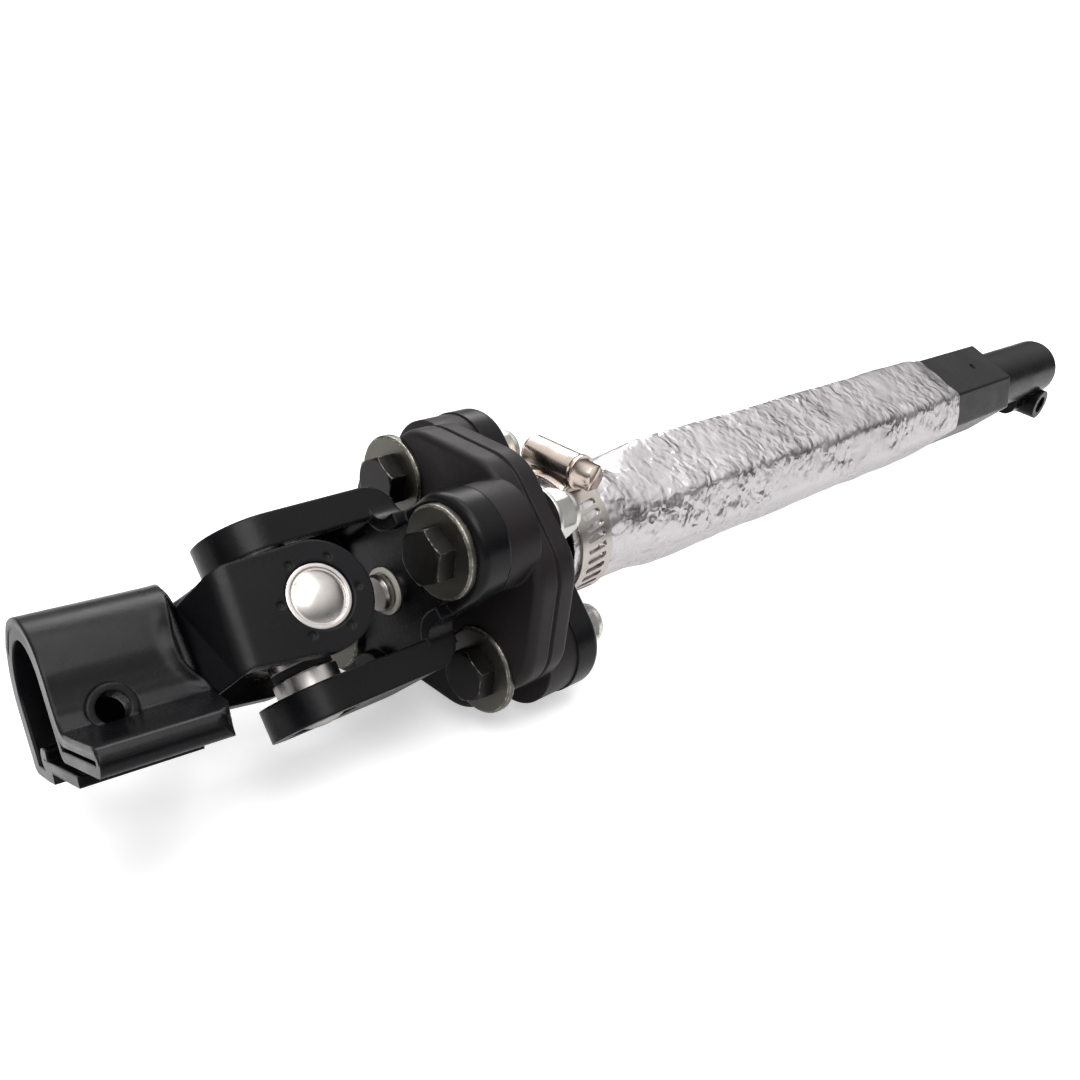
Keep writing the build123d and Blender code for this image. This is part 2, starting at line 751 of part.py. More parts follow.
# Upper clamp, a split collar with a lug below it for the pinch bolt
with BuildPart() as upper_clamp:
    with BuildSketch(Plane.YZ):
        Circle(collar_radius)
    extrude(amount=-collar_length)
    chamfer(upper_clamp.edges().group_by(Axis.X)[-1], collar_edge)
    with BuildSketch(Plane.YZ.offset(-lug_back)) as lug_outline:
        Rectangle(2 * lug_half_width, lug_drop, align=(Align.CENTER, Align.MAX))
        fillet(lug_outline.vertices().group_by(Axis.Y)[0], lug_corner)
    extrude(amount=-lug_length)
    with BuildSketch(Plane.XZ):
        with Locations((-upper_pinch_back, -upper_pinch_drop)):
            Circle(upper_ring_radius)
    extrude(amount=upper_ring_reach)
    with BuildSketch(Plane.YZ):
        Circle(collar_bore)
    extrude(amount=-collar_bore_length, mode=Mode.SUBTRACT)
    with BuildSketch(Plane.XY):
        Rectangle(slit_length, lug_slit, align=(Align.MAX, Align.CENTER))
    extrude(amount=-2 * lug_drop, mode=Mode.SUBTRACT)
    with BuildSketch(Plane.XZ):
        with Locations((-upper_pinch_back, -upper_pinch_drop)):
            Circle(upper_pinch_radius)
    extrude(amount=2 * lug_drop, both=True, mode=Mode.SUBTRACT)
    with BuildSketch(Plane.YZ.offset(-collar_length)):
        Circle(collar_spigot)
    extrude(amount=-tube_plate)
finish(upper_clamp, "upper_clamp", Location((0, 0, 0), (collar_turn, 0, 0)))


# Foil sleeve, round where the hose clamp holds it and six-sided over the tube
foil_round = shaft_seat_radius + foil_seat_gap
with BuildPart() as foil_sleeve:
    for skin, mode in ((foil_thickness, Mode.ADD), (0, Mode.SUBTRACT)):
        with BuildSketch(Plane.YZ.offset(foil_start)):
            Circle(foil_round + skin)
        extrude(amount=foil_round_end - foil_start, mode=mode)
        with BuildSketch(Plane.YZ.offset(foil_round_end)):
            RegularPolygon(foil_round + skin, 6, major_radius=False, rotation=foil_swell_turn - tube_turn)
            fillet(vertices(), foil_swell_corner + skin)
        with BuildSketch(Plane.YZ.offset(foil_swell_end)):
            six_sided(foil_gap + skin)
        loft(mode=mode)
        with BuildSketch(Plane.YZ.offset(foil_swell_end)):
            six_sided(foil_gap + skin)
        extrude(amount=foil_end - foil_swell_end, mode=mode)
finish(foil_sleeve, "foil_sleeve", disc_place)


# Hose clamp, with a slotted band, a housing on top and a worm screw across it
band_inner = foil_round + foil_thickness + band_gap
band_outer = band_inner + band_thickness
band_middle = band_start + band_width / 2
slot_count = int((360 - slot_plain_arc) / slot_step) + 1
with BuildPart() as clamp_band:
    with BuildSketch(Plane.YZ.offset(band_start)):
        ring(band_outer, band_inner)
    extrude(amount=band_width)
    for number in range(slot_count):
        slot_turn = 180 + (number - (slot_count - 1) / 2) * slot_step
        with BuildSketch(Plane(Location((band_middle, 0, 0), (slot_turn, 0, 0))).offset(band_inner)):
            SlotOverall(slot_length, slot_width, rotation=slot_slant)
        extrude(amount=band_thickness, both=True, mode=Mode.SUBTRACT)
finish(clamp_band, "clamp_band", disc_place)

screw_height = band_outer + screw_radius + foil_seat_gap
with BuildPart() as clamp_housing:
    with BuildSketch(Plane.XZ.offset(-housing_length / 2)):
        with Locations((band_middle, screw_height)):
            Circle(housing_radius)
    extrude(amount=housing_length)
    with BuildSketch(Plane.YZ.offset(band_start)):
        Circle(band_outer + saddle_thickness)
        Rectangle(saddle_width, band_outer + housing_radius, align=(Align.CENTER, Align.MIN), mode=Mode.INTERSECT)
    extrude(amount=band_width)
    with BuildSketch(Plane.YZ.offset(band_start)):
        Circle(band_outer + running_gap)
    extrude(amount=band_width, mode=Mode.SUBTRACT)
    with BuildSketch(Plane.XZ):
        with Locations((band_middle, screw_height)):
            Circle(housing_radius - housing_wall)
    extrude(amount=housing_length, both=True, mode=Mode.SUBTRACT)
finish(clamp_housing, "clamp_housing", disc_place)

with BuildPart() as clamp_screw:
    with BuildSketch(Plane.XZ.offset(-housing_length / 2 - screw_flange)):
        Circle(screw_radius)
    extrude(amount=housing_length + screw_flange)
    groove_count = int(housing_length / screw_pitch)
    for number in range(groove_count):
        with BuildSketch(Plane.XZ.offset(-housing_length / 2 + (number + 0.5) * screw_pitch)):
            ring(screw_radius, screw_radius - screw_groove)
        extrude(amount=screw_pitch / 2, mode=Mode.SUBTRACT)
    with BuildSketch(Plane.XZ.offset(housing_length / 2)):
        Circle(screw_flange_radius)
    extrude(amount=screw_flange)
    with BuildSketch(Plane.XZ.offset(housing_length / 2 + screw_flange)):
        RegularPolygon(screw_head_across / 2, 6, major_radius=False)
    extrude(amount=screw_head_height)
finish(clamp_screw, "clamp_screw", disc_place * Location((band_middle, 0, screw_height)))
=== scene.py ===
import json
import math

import bmesh
import bpy
from mathutils import Matrix, Vector


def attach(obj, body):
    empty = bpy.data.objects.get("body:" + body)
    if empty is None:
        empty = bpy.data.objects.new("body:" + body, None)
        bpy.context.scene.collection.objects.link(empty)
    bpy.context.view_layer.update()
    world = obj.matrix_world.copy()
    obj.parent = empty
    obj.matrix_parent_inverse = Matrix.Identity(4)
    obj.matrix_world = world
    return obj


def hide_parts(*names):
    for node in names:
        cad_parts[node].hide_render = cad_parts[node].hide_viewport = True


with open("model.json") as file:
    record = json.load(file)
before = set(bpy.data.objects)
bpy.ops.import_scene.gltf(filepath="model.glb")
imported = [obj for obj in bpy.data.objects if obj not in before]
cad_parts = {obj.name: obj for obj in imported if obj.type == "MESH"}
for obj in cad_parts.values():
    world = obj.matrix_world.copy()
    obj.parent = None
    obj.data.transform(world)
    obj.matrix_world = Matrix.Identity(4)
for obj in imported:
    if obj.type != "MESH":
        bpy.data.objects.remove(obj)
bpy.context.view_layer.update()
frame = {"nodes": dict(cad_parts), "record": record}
cadNodes = frame["nodes"]
print("frame loaded:", len(cadNodes), "CAD nodes")

mm = 0.001
weldGap = 0.000002  # points of a CAD mesh that lie nearer than this are one

# Where the pieces lie, as in the part's source: mm along the shaft, and degrees
layout = {
    "disc": -396.0,  # middle of the rubber disc, from the mouth of the upper clamp
    "cross": -56.0,  # middle of the cross, from the disc
    "boltTurn": -45.0,  # bolts and joint axes about the shaft
    "boltOut": 28.4,  # from the shaft's axis
    "swing": -6.1,  # clamp yoke as it lies, about the upper yoke's axis
    "dip": 4.9,  # and about its own axis
}
discX = layout["disc"] * mm

# Camera at the photograph's angle, placed from the middle of the disc
cameraView = {
    "fromDisc": (-0.19143, -0.19450, 0.14205),
    "right": (0.6913, -0.7134, 0.1149),
    "up": (0.2418, 0.3782, 0.8936),
    "lens": 37.437,
    "sensor": 36,
    "clip": (0.01, 50),
}
cameraData = bpy.data.cameras.new("camera")
cameraData.lens = cameraView["lens"]
cameraData.sensor_width = cameraView["sensor"]
cameraData.clip_start, cameraData.clip_end = cameraView["clip"]
camera = bpy.data.objects.new("camera", cameraData)
bpy.context.scene.collection.objects.link(camera)
rightWay = Vector(cameraView["right"]).normalized()
upWay = Vector(cameraView["up"])
upWay = (upWay - rightWay * upWay.dot(rightWay)).normalized()
backWay = rightWay.cross(upWay)
cameraTurn = Matrix((rightWay, upWay, backWay)).transposed().to_4x4()
cameraPlace = Vector((discX, 0, 0)) + Vector(cameraView["fromDisc"])
camera.matrix_world = Matrix.Translation(cameraPlace) @ cameraTurn
bpy.context.scene.camera = camera
bpy.context.scene.view_settings.view_transform = "Standard"


# Small helpers for node trees
def addNode(tree, kind, inputs=None, **settings):
    node = tree.nodes.new(kind)
    for key, value in settings.items():
        setattr(node, key, value)
    for key, value in (inputs or {}).items():
        if hasattr(value, "is_output"):
            tree.links.new(value, node.inputs[key])
        else:
            node.inputs[key].default_value = value
    return node


def mathNode(tree, operation, first, second=None, clamp=False):
    inputs = {0: first} if second is None else {0: first, 1: second}
    return addNode(tree, "ShaderNodeMath", inputs, operation=operation, use_clamp=clamp).outputs[0]


def rangeNode(tree, value, old, new=(0.0, 1.0), kind="LINEAR"):
    inputs = {"Value": value, "From Min": old[0], "From Max": old[1], "To Min": new[0], "To Max": new[1]}
    return addNode(tree, "ShaderNodeMapRange", inputs, interpolation_type=kind).outputs[0]


def noiseNode(tree, vector, scale, detail, rough=0.5):
    inputs = {"Vector": vector, "Scale": scale, "Detail": detail, "Roughness": rough}
    return addNode(tree, "ShaderNodeTexNoise", inputs).outputs[0]


def rampNode(tree, factor, stops):
    node = addNode(tree, "ShaderNodeValToRGB", {"Fac": factor})
    for element, (place, level) in zip(node.color_ramp.elements, stops):
        element.position = place
        element.color = (level, level, level, 1)
    return node.outputs["Color"]


def mixColours(tree, factor, first, second):
    node = addNode(tree, "ShaderNodeMix", data_type="RGBA")
    sockets = [socket for socket in node.inputs if socket.enabled]
    for socket, value in zip(sockets, (factor, first, second)):
        if hasattr(value, "is_output"):
            tree.links.new(value, socket)
        else:
            socket.default_value = value
    return [socket for socket in node.outputs if socket.enabled][0]


def newGroup(name, inputs, outputs):
    group = bpy.data.node_groups.new(name, "ShaderNodeTree")
    for label, kind, value in inputs:
        socket = group.interface.new_socket(name=label, in_out="INPUT", socket_type=kind)
        socket.default_value = value
    for label, kind in outputs:
        group.interface.new_socket(name=label, in_out="OUTPUT", socket_type=kind)
    return group, addNode(group, "NodeGroupInput"), addNode(group, "NodeGroupOutput")


def useGroup(tree, group, inputs):
    return addNode(tree, "ShaderNodeGroup", inputs, node_tree=group)


noiseSpan = (0.3, 0.7)  # most of a noise's values lie between these

# Soft edges: rounds the look of sharp CAD edges and gives a mask that is high along them
edgeLook = {"samples": 6, "gain": 6.0, "breakDetail": 3.0, "breaks": ((0.42, 0.0), (0.62, 1.0))}
softEdge, groupIn, groupOut = newGroup(
    "softEdge",
    [("Radius", "NodeSocketFloat", 0.0005), ("Break Scale", "NodeSocketFloat", 900.0)],
    [("Normal", "NodeSocketVector"), ("Mask", "NodeSocketFloat")],
)
edgeRadius = {"Radius": groupIn.outputs["Radius"]}
bevel = addNode(softEdge, "ShaderNodeBevel", edgeRadius, samples=edgeLook["samples"])
geometry = addNode(softEdge, "ShaderNodeNewGeometry")
normals = {0: bevel.outputs[0], 1: geometry.outputs["Normal"]}
agree = addNode(softEdge, "ShaderNodeVectorMath", normals, operation="DOT_PRODUCT")
turned = mathNode(softEdge, "SUBTRACT", 1.0, agree.outputs["Value"])
strong = mathNode(softEdge, "MULTIPLY", turned, edgeLook["gain"], clamp=True)
where = addNode(softEdge, "ShaderNodeTexCoord").outputs["Object"]
breaks = noiseNode(softEdge, where, groupIn.outputs["Break Scale"], edgeLook["breakDetail"])
broken = rampNode(softEdge, breaks, edgeLook["breaks"])
softEdge.links.new(bevel.outputs[0], groupOut.inputs["Normal"])
softEdge.links.new(mathNode(softEdge, "MULTIPLY", strong, broken), groupOut.inputs["Mask"])

# Fine grain: two sizes of noise, for colour, gloss and height
grainLook = {"fineDetail": 4.0, "patchDetail": 5.0, "patchRough": 0.6}
fineGrain, groupIn, groupOut = newGroup(
    "fineGrain",
    [("Scale", "NodeSocketFloat", 400.0), ("Patch Scale", "NodeSocketFloat", 45.0)],
    [("Fine", "NodeSocketFloat"), ("Patch", "NodeSocketFloat")],
)
where = addNode(fineGrain, "ShaderNodeTexCoord").outputs["Object"]
fine = noiseNode(fineGrain, where, groupIn.outputs["Scale"], grainLook["fineDetail"])
patch = noiseNode(
    fineGrain, where, groupIn.outputs["Patch Scale"], grainLook["patchDetail"], grainLook["patchRough"]
)
fineGrain.links.new(fine, groupOut.inputs["Fine"])
fineGrain.links.new(patch, groupOut.inputs["Patch"])


finishes = {
    "blackPaint": {
        "colour": (0.003, 0.003, 0.0038), "wornAndHighlight": (0.03, 0.03, 0.032), "rough": (0.2, 0.36),
        "metal": 0.0, "specular": 0.15, "grain": 700.0, "patch": 60.0,
        "bump": 0.1, "distance": 0.0003, "edge": 0.0009, "wearAndHighlight": 0.25,
    },
    "discRubber": {
        "colour": (0.009, 0.0065, 0.0072), "wornAndHighlight": (0.026, 0.021, 0.022), "rough": (0.4, 0.56),
        "metal": 0.0, "specular": 0.2, "grain": 1100.0, "patch": 55.0,
        "bump": 0.14, "distance": 0.0003, "edge": 0.0008, "wearAndHighlight": 0.3,
    },
    "sealRubber": {
        "colour": (0.01, 0.01, 0.01), "wornAndHighlight": (0.03, 0.03, 0.03), "rough": (0.5, 0.7),
        "metal": 0.0, "specular": 0.3, "grain": 1800.0, "patch": 90.0,
        "bump": 0.1, "distance": 0.0001, "edge": 0.0003, "wearAndHighlight": 0.3,
    },
    "brightSteel": {
        "colour": (0.5, 0.47, 0.45), "wornAndHighlight": (0.86, 0.83, 0.8), "rough": (0.24, 0.36),
        "metal": 1.0, "specular": 0.5, "grain": 1500.0, "patch": 110.0,
        "bump": 0.03, "distance": 0.0001, "edge": 0.0003, "wearAndHighlight": 0.3,
    },
    "zincPlate": {
        "colour": (0.66, 0.65, 0.61), "wornAndHighlight": (0.8, 0.79, 0.74), "rough": (0.22, 0.4),
        "metal": 1.0, "specular": 0.5, "grain": 1300.0, "patch": 120.0,
        "bump": 0.06, "distance": 0.0001, "edge": 0.0004, "wearAndHighlight": 0.4,
    },
    # Washers: the dark colour is painted shade, standing for the dark room that silver washers reflect, and
    # the light edge colour is a painted highlight on their rims
    "darkWasher": {
        "colour": (0.12, 0.115, 0.1), "wornAndHighlight": (0.85, 0.82, 0.68), "rough": (0.3, 0.46),
        "metal": 1.0, "specular": 0.5, "grain": 1100.0, "patch": 150.0,
        "bump": 0.08, "distance": 0.0001, "edge": 0.0006, "wearAndHighlight": 1.0,
    },
    "blackBolt": {
        "colour": (0.03, 0.028, 0.028), "wornAndHighlight": (0.3, 0.29, 0.27), "rough": (0.3, 0.46),
        "metal": 1.0, "specular": 0.5, "grain": 1100.0, "patch": 130.0,
        "bump": 0.1, "distance": 0.0002, "edge": 0.0005, "wearAndHighlight": 0.8,
    },
    "bandSteel": {
        "colour": (0.5, 0.46, 0.43), "wornAndHighlight": (0.7, 0.68, 0.65), "rough": (0.26, 0.4),
        "metal": 1.0, "specular": 0.5, "grain": 1500.0, "patch": 140.0,
        "bump": 0.04, "distance": 0.0001, "edge": 0.0002, "wearAndHighlight": 0.4,
    },
    "housingSteel": {
        "colour": (0.58, 0.49, 0.43), "wornAndHighlight": (0.85, 0.78, 0.72), "rough": (0.16, 0.28),
        "metal": 1.0, "specular": 0.5, "grain": 1500.0, "patch": 160.0,
        "bump": 0.03, "distance": 0.0001, "edge": 0.0003, "wearAndHighlight": 0.5,
    },
    "bushPlastic": {
        "colour": (0.62, 0.6, 0.52), "wornAndHighlight": (0.7, 0.68, 0.6), "rough": (0.4, 0.55),
        "metal": 0.0, "specular": 0.5, "grain": 1200.0, "patch": 90.0,
        "bump": 0.05, "distance": 0.0001, "edge": 0.0003, "wearAndHighlight": 0.3,
    },
}
shadeSpan = (0.75, 1.25)  # how dark and how light a finish gets in patches


def makeFinish(name, spec):
    material = bpy.data.materials.new(name)
    material.use_nodes = True
    tree = material.node_tree
    surface = tree.nodes["Principled BSDF"]
    surface.inputs["Metallic"].default_value = spec["metal"]
    surface.inputs["Specular IOR Level"].default_value = spec["specular"]
    edge = useGroup(tree, softEdge, {"Radius": spec["edge"]})
    grain = useGroup(tree, fineGrain, {"Scale": spec["grain"], "Patch Scale": spec["patch"]})
    # Lighter colour along edges: real edge wear on most finishes, and a painted highlight on the washers'
    # rims
    wearAndHighlight = mathNode(tree, "MULTIPLY", edge.outputs["Mask"], spec["wearAndHighlight"])
    deep = (*[part * shadeSpan[0] for part in spec["colour"]], 1)
    light = (*[min(1, part * shadeSpan[1]) for part in spec["colour"]], 1)
    shade = mixColours(tree, grain.outputs["Patch"], deep, light)
    colour = mixColours(tree, wearAndHighlight, shade, (*spec["wornAndHighlight"], 1))
    rough = rangeNode(tree, grain.outputs["Patch"], noiseSpan, spec["rough"])
    relief = {"Strength": spec["bump"], "Distance": spec["distance"]}
    heights = {"Height": grain.outputs["Fine"], "Normal": edge.outputs["Normal"], **relief}
    bump = addNode(tree, "ShaderNodeBump", heights)
    tree.links.new(colour, surface.inputs["Base Color"])
    tree.links.new(rough, surface.inputs["Roughness"])
    tree.links.new(bump.outputs[0], surface.inputs["Normal"])
    return material


materials = {name: makeFinish(name, spec) for name, spec in finishes.items()}
slotFinish = {
    "black_paint": "blackPaint",
    "disc_rubber": "discRubber",
    "seal_rubber": "sealRubber",
    "bright_steel": "brightSteel",
    "zinc_plate": "zincPlate",
    "band_steel": "bandSteel",
    "bush_plastic": "bushPlastic",
}
nodeFinish = {"disc_bolts": "blackBolt", "bolt_washers": "darkWasher"}
for subpart in frame["record"]["subparts"]:
    node = cadNodes[subpart["node"]]
    finishName = nodeFinish.get(subpart["node"], slotFinish.get(subpart["material_slot"]))
    if finishName:
        for slot in node.material_slots:
            slot.material = materials[finishName]
print("finishes made:", len(materials))


# Places of the pieces: bolts, the upper yoke's arms, and the clamp yoke as it swings and dips at rest
def turnMatrix(degrees, axis):
    return Matrix.Rotation(math.radians(degrees), 4, axis)


boltPlace = Matrix.Translation((discX, 0, 0)) @ turnMatrix(layout["boltTurn"], "X")
armPlace = boltPlace @ Matrix.Translation((layout["cross"] * mm, 0, 0))
lowerPlace = armPlace @ turnMatrix(layout["swing"], "Z") @ turnMatrix(layout["dip"], "Y")
backFromLower = lowerPlace.inverted()
boltOut = layout["boltOut"]


# Rings of points round the x axis, joined to a closed skin; without loop, the ends are closed by a face
def addRings(shape, rings, place, count, loop=True):
    rows = []
    for x, radius in rings:
        row = []
        for step in range(count):
            angle = 2 * math.pi * step / count
            reach = radius(angle) if callable(radius) else radius
            spot = Vector((x, reach * math.cos(angle), reach * math.sin(angle))) * mm
            row.append(shape.verts.new(place @ spot))
        rows.append(row)
    for number in range(len(rows) - (0 if loop else 1)):
        here, there = rows[number], rows[(number + 1) % len(rows)]
        for step in range(count):
            after = (step + 1) % count
            shape.faces.new((here[step], here[after], there[after], there[step]))
    if not loop:
        shape.faces.new(rows[0])
        shape.faces.new(reversed(rows[-1]))


def keepMesh(name, shape, sharp=30):
    bmesh.ops.recalc_face_normals(shape, faces=shape.faces)
    mesh = bpy.data.meshes.new(name)
    shape.to_mesh(mesh)
    shape.free()
    mesh.shade_smooth()
    mesh.set_sharp_from_angle(angle=math.radians(sharp))
    return mesh


def addPiece(mesh, finish, body, slot, *nodes):
    piece = bpy.data.objects.new(mesh.name, mesh)
    bpy.context.scene.collection.objects.link(piece)
    mesh.materials.clear()
    mesh.materials.append(materials[finish])
    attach(piece, body)
    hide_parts(*nodes)


# Rings round an edge, from the side to the face; outward is 1 where the face looks along +x
def roundedRim(x, radius, bend, outward, steps=5):
    rings = []
    for step in range(steps + 1):
        angle = math.pi / 2 * step / steps
        rings.append((x - outward * bend * (1 - math.sin(angle)), radius - bend * (1 - math.cos(angle))))
    return rings


# Rubber disc: eight flats with round corners, soft edges and a parting groove, and a boss at each bolt
discForm = {
    "half": 7.25, "flat": 37.0, "corner": 15.0, "edge": 2.4, "edgeSteps": 6, "hole": 9.0, "count": 256,
    "groove": 0.75, "grooveDepth": 0.9,
    "grooveForm": ((-1.0, 0.0), (-0.6, 0.7), (0.0, 1.0), (0.6, 0.7), (1.0, 0.0)),  # shares across and deep
    "boss": 13.9, "bossEdge": 1.2, "bossEnd": 17.6, "bossRoot": 5.0, "bore": 7.0, "bossCount": 72,
}


def octagon(inset):
    flat = discForm["flat"] - inset
    corner = discForm["corner"] - inset
    turnHalf = math.pi / 8
    centre = (flat - corner) / math.cos(turnHalf)

    def reach(angle):
        fromFlat = (angle + turnHalf) % (2 * turnHalf) - turnHalf
        if flat * math.tan(abs(fromFlat)) <= (flat - corner) * math.tan(turnHalf):
            return flat / math.cos(fromFlat)
        fromCorner = turnHalf - abs(fromFlat)
        along = centre * math.cos(fromCorner)
        return along + math.sqrt(corner**2 - centre**2 + along**2)

    return reach


edgeRings = []
for step in range(discForm["edgeSteps"] + 1):
    angle = math.pi / 2 * step / discForm["edgeSteps"]
    back = discForm["edge"] * (1 - math.cos(angle))
    edgeRings.append((discForm["half"] - back, octagon(discForm["edge"] * (1 - math.sin(angle)))))
discRings = [
    (-discForm["half"], discForm["hole"]),
    *[(-x, reach) for x, reach in edgeRings],
    *[
        (share * discForm["groove"], octagon(depth * discForm["grooveDepth"]))
        for share, depth in discForm["grooveForm"]
    ],
    *reversed(edgeRings),
    (discForm["half"], discForm["hole"]),
]
shape = bmesh.new()
addRings(shape, discRings, boltPlace, discForm["count"])
for across, up, side in ((-boltOut, 0, -1), (boltOut, 0, -1), (0, -boltOut, 1), (0, boltOut, 1)):
    root, face = side * discForm["bossRoot"], side * discForm["bossEnd"]
    bossRings = [
        (root, discForm["bore"]),
        (root, discForm["boss"]),
        *roundedRim(face, discForm["boss"], discForm["bossEdge"], side),
        (face, discForm["bore"]),
    ]
    bossPlace = boltPlace @ Matrix.Translation((0, across * mm, up * mm))
    addRings(shape, bossRings, bossPlace, discForm["bossCount"])
addPiece(keepMesh("rubberDisc", shape), "discRubber", "shaft", "disc_rubber", "flex_disc")
print("rubber disc made")


# Locking nuts: flange, six-sided body with rounded shoulders, and a domed collar round the bolt's end
nutForm = {
    "flange": 9.0, "flangeHeight": 1.6, "flangeEdge": 0.9,
    "half": 6.5, "corner": 9.0, "cornerLift": 0.1, "body": 8.6,
    "shoulder": ((-1.2, 9.0), (-0.6, 7.2), (0.0, 6.7)),  # from the body's top, and its corners' reach
    "collar": 6.0, "collarLift": 0.2, "collarSpread": 0.15, "collarEdge": 1.7, "top": 11.9,
    "bore": 4.02, "boreMouth": 0.4, "turn": 15.0, "farSeat": 24.8, "count": 144,
}


def hexagon(limit):
    def reach(angle):
        fromFlat = (angle + math.pi / 6) % (math.pi / 3) - math.pi / 6
        return min(nutForm["half"] / math.cos(fromFlat), limit)
    return reach


nutRings = [
    (0.0, nutForm["bore"]),
    (0.0, nutForm["flange"]),
    *roundedRim(nutForm["flangeHeight"], nutForm["flange"], nutForm["flangeEdge"], 1),
    (nutForm["flangeHeight"] + nutForm["cornerLift"], hexagon(nutForm["corner"])),
    *[(nutForm["body"] + lift, hexagon(limit)) for lift, limit in nutForm["shoulder"]],
    (nutForm["body"] + nutForm["collarLift"], nutForm["collar"] + nutForm["collarSpread"]),
    *roundedRim(nutForm["top"], nutForm["collar"], nutForm["collarEdge"], 1),
    (nutForm["top"], nutForm["bore"] + nutForm["boreMouth"]),
    (nutForm["top"] - nutForm["boreMouth"], nutForm["bore"]),
]
shape = bmesh.new()
nutTurn = turnMatrix(layout["boltTurn"], "X") @ turnMatrix(nutForm["turn"], "X")
addRings(shape, nutRings, nutTurn, nutForm["count"])
oneNut = bpy.data.objects.new("oneNut", keepMesh("oneNut", shape))
bpy.context.scene.collection.objects.link(oneNut)


def makeRepeatTree(name):
    group = bpy.data.node_groups.new(name, "GeometryNodeTree")
    group.interface.new_socket(name="Geometry", in_out="INPUT", socket_type="NodeSocketGeometry")
    group.interface.new_socket(name="Source", in_out="INPUT", socket_type="NodeSocketObject")
    group.interface.new_socket(name="Material", in_out="INPUT", socket_type="NodeSocketMaterial")
    group.interface.new_socket(name="Geometry", in_out="OUTPUT", socket_type="NodeSocketGeometry")
    given = addNode(group, "NodeGroupInput").outputs
    end = addNode(group, "NodeGroupOutput")
    source = addNode(group, "GeometryNodeObjectInfo", {"Object": given["Source"]})
    copies = {"Points": given["Geometry"], "Instance": source.outputs["Geometry"]}
    placed = addNode(group, "GeometryNodeInstanceOnPoints", copies)
    single = addNode(group, "GeometryNodeRealizeInstances", {"Geometry": placed.outputs[0]})
    dress = {"Geometry": single.outputs[0], "Material": given["Material"]}
    dressed = addNode(group, "GeometryNodeSetMaterial", dress)
    group.links.new(dressed.outputs[0], end.inputs["Geometry"])
    return group


# Runs a tree on a holder of loose points and gives the result as a plain mesh
def growMesh(name, group, values, points=()):
    mesh = bpy.data.meshes.new(name + "Holder")
    mesh.from_pydata(points, [], [])
    holder = bpy.data.objects.new(name + "Holder", mesh)
    bpy.context.scene.collection.objects.link(holder)
    modifier = holder.modifiers.new("shape", "NODES")
    modifier.node_group = group
    for item in group.interface.items_tree:
        if item.item_type == "SOCKET" and item.in_out == "INPUT" and item.name in values:
            modifier[item.identifier] = values[item.name]
    bpy.context.view_layer.update()
    grown = holder.evaluated_get(bpy.context.evaluated_depsgraph_get())
    mesh = bpy.data.meshes.new_from_object(grown)
    bpy.data.objects.remove(holder)
    mesh.name = name
    return mesh


nearSeat, farSeat = discForm["half"], nutForm["farSeat"]
nutSpots = ((nearSeat, -boltOut, 0), (nearSeat, boltOut, 0), (farSeat, 0, -boltOut), (farSeat, 0, boltOut))
nutPoints = [tuple(boltPlace @ (Vector(spot) * mm)) for spot in nutSpots]
nutValues = {"Source": oneNut, "Material": materials["zincPlate"]}
nuts = growMesh("lockingNuts", makeRepeatTree("repeatNuts"), nutValues, nutPoints)
bpy.data.objects.remove(oneNut)
addPiece(nuts, "zincPlate", "shaft", "zinc_plate", "bolt_nuts")
print("nuts made")


# Bearing caps: a flat ring with a groove inside it, and a domed middle
capForm = {
    "radius": 8.0, "edge": 0.5, "inner": 6.5, "length": 11.5, "floor": 2.2, "centre": 0.4, "recess": 0.5,
    "ring": 6.8, "groove": 0.4, "grooveSlope": 0.2, "dome": 6.2, "rise": 1.7, "domeSteps": 9,
    "earFace": 25.2, "armFace": 24.8, "count": 96,
}
domeBall = (capForm["dome"] ** 2 + capForm["rise"] ** 2) / (2 * capForm["rise"])
capSpots = (
    ("capNear", lowerPlace @ turnMatrix(-90, "Z"), capForm["earFace"], "clamp_yoke", "lower_cap_near"),
    ("capFar", lowerPlace @ turnMatrix(90, "Z"), capForm["earFace"], "clamp_yoke", "lower_cap_far"),
    ("capTop", armPlace @ turnMatrix(-90, "Y"), capForm["armFace"], "shaft", "upper_cap_top"),
    ("capBottom", armPlace @ turnMatrix(90, "Y"), capForm["armFace"], "shaft", "upper_cap_bottom"),
)
for name, place, outer, body, node in capSpots:
    face = outer - capForm["recess"]
    floorX, endX, grooveX = face - capForm["floor"], face - capForm["length"], face - capForm["groove"]
    rings = [
        (floorX, capForm["centre"]),
        (floorX, capForm["inner"]),
        (endX, capForm["inner"]),
        (endX, capForm["radius"]),
        *roundedRim(face, capForm["radius"], capForm["edge"], 1),
        (face, capForm["ring"]),
        (grooveX, capForm["ring"] - capForm["grooveSlope"]),
        (grooveX, capForm["dome"]),
    ]
    for step in range(capForm["domeSteps"]):
        reach = capForm["dome"] * math.cos(math.pi / 2 * step / capForm["domeSteps"])
        rings.append((grooveX + capForm["rise"] - domeBall + math.sqrt(domeBall**2 - reach**2), reach))
    shape = bmesh.new()
    addRings(shape, rings, place, capForm["count"], loop=False)
    addPiece(keepMesh(name, shape), "brightSteel", body, "bright_steel", node)
print("bearing caps made")


# Hose clamp: copies of the band, housing and screw, brought to the foil's girth and the screw's length
clampForm = {
    "wider": 1.5, "back": -1.6,
    "stretch": 17.5 / 15.0, "shift": 1.7,  # housing and screw, along the screw
    "screwX": 38.95, "screwHeight": 21.2, "housing": 5.0,  # all within this reach of the screw moves with it
}


